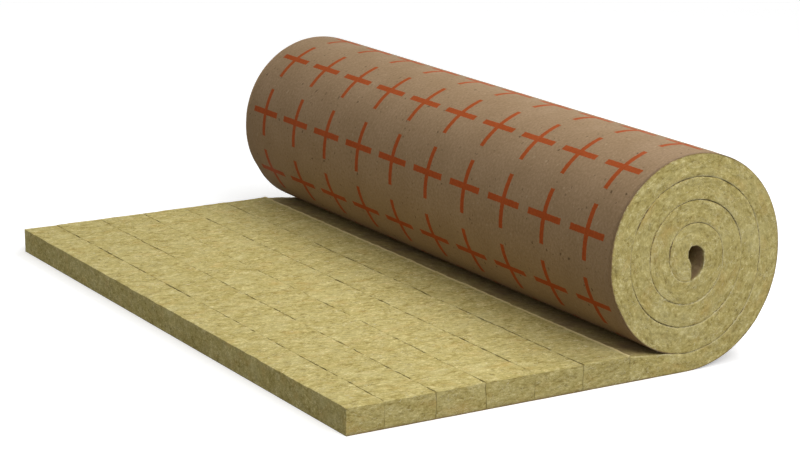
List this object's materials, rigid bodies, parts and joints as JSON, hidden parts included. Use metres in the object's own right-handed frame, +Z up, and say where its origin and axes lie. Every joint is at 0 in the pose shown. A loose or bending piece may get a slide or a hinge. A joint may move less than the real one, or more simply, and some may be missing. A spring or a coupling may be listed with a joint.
{
  "type": "insulation roll",
  "caption": "Partly unrolled lamella mat of yellow stone wool on a brown kraft paper facing, for insulating pipes, ducts and tanks.",
  "frame": {"origin": "middle of the bounding box on the floor", "axes": "+X along the mat from its free end towards the roll, +Y along the roll's axis, +Z up"},
  "size_m": [0.646, 1, 0.287],
  "materials": {
    "stone_wool": "fibrous, matt",
    "kraft_paper": "matt, with printed marks"
  },
  "bodies": {
    "root": {"wool_roll": "stone_wool", "lamella_strips": "stone_wool", "kraft_facing": "kraft_paper"}
  },
  "joints": []
}
